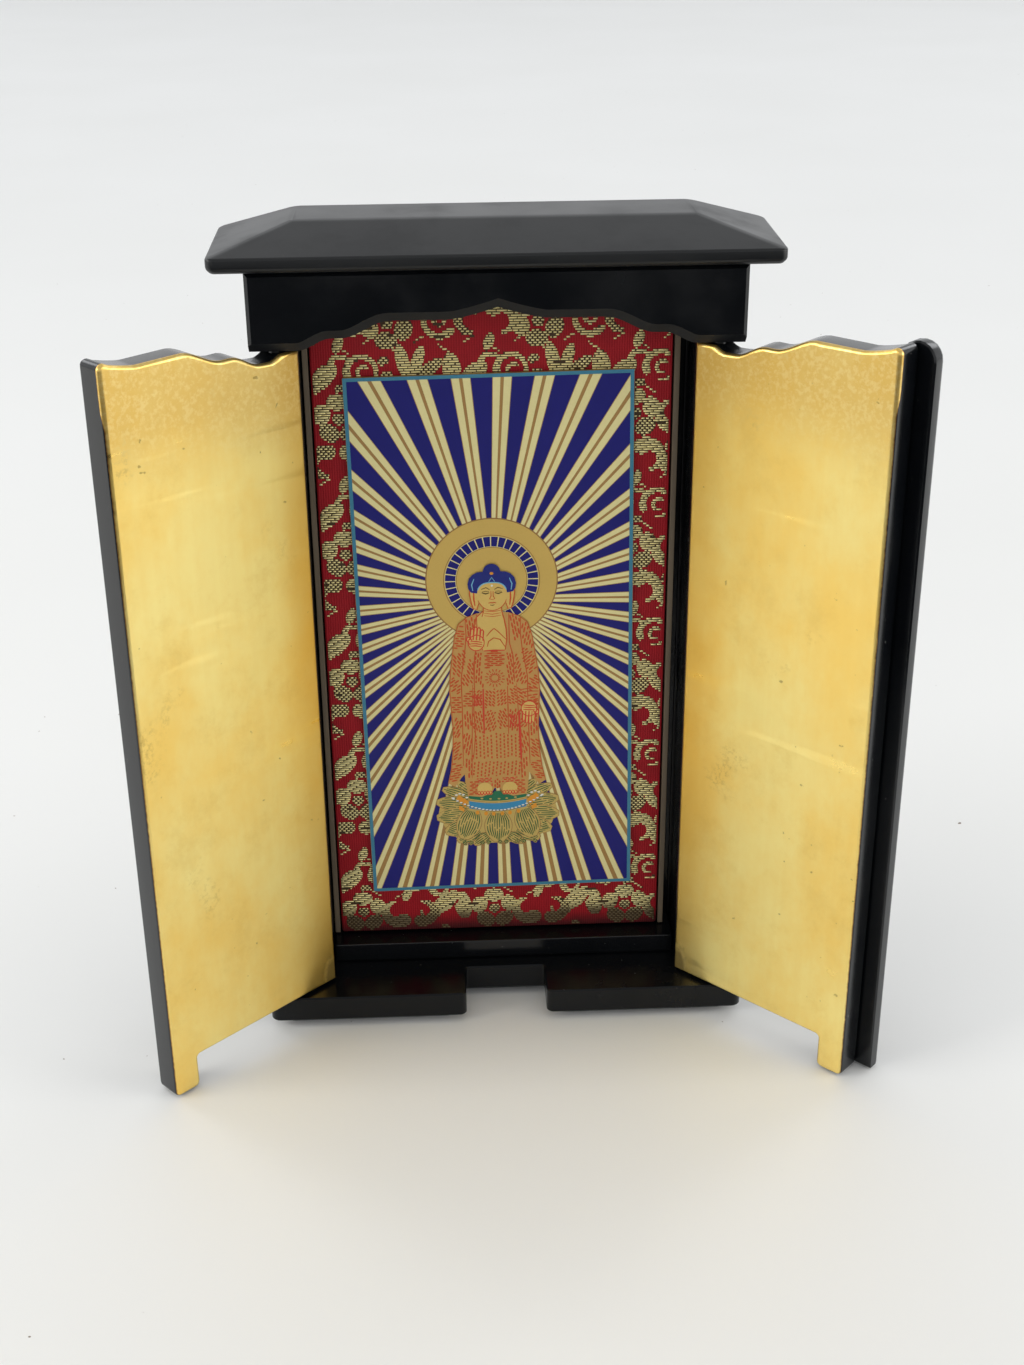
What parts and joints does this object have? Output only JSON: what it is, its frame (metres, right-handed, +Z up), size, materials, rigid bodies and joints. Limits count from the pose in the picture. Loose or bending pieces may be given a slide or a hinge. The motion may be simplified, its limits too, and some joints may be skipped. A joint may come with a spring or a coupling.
{
  "type": "household altar cabinet",
  "caption": "Small standing black lacquered altar cabinet with hipped roof, cusped header, gilt-lined folding doors and a coloured picture plate on brocade.",
  "frame": {"origin": "on the flat underside of the foot, in the middle of the body's width and depth", "axes": "+Z up, the doors open towards -Y, +X is the right-hand side seen from the front"},
  "size_m": [0.1493, 0.0518, 0.1706],
  "materials": {
    "black_lacquer": "gloss black lacquer, gilt on the doors' inner faces",
    "brocade": "red brocade with gold weft",
    "bare_wood": "bare board edge",
    "gilt_plate": "gilt with coloured enamel fills"
  },
  "bodies": {
    "cabinet": {"base": "black_lacquer", "sill": "black_lacquer", "side_panel_left": "black_lacquer", "side_panel_right": "black_lacquer", "back_panel": "black_lacquer", "header": "black_lacquer", "roof": "black_lacquer", "brocade_board": "brocade", "edge_strip_left": "bare_wood", "edge_strip_right": "bare_wood", "picture_plate": "gilt_plate"},
    "left_leaf": {"door_left": "black_lacquer"},
    "right_leaf": {"door_right": "black_lacquer", "meeting_batten": "black_lacquer"}
  },
  "joints": [
    {"name": "left_hinge", "type": "hinge", "parent": "cabinet", "child": "left_leaf", "pos_m": [-0.0414, -0.0085, 0.0784], "axis": [0, 0, 1], "range_deg": [-33, 137]},
    {"name": "right_hinge", "type": "hinge", "parent": "cabinet", "child": "right_leaf", "pos_m": [0.0414, -0.0085, 0.0784], "axis": [0, 0, 1], "range_deg": [-136, 34]}
  ]
}
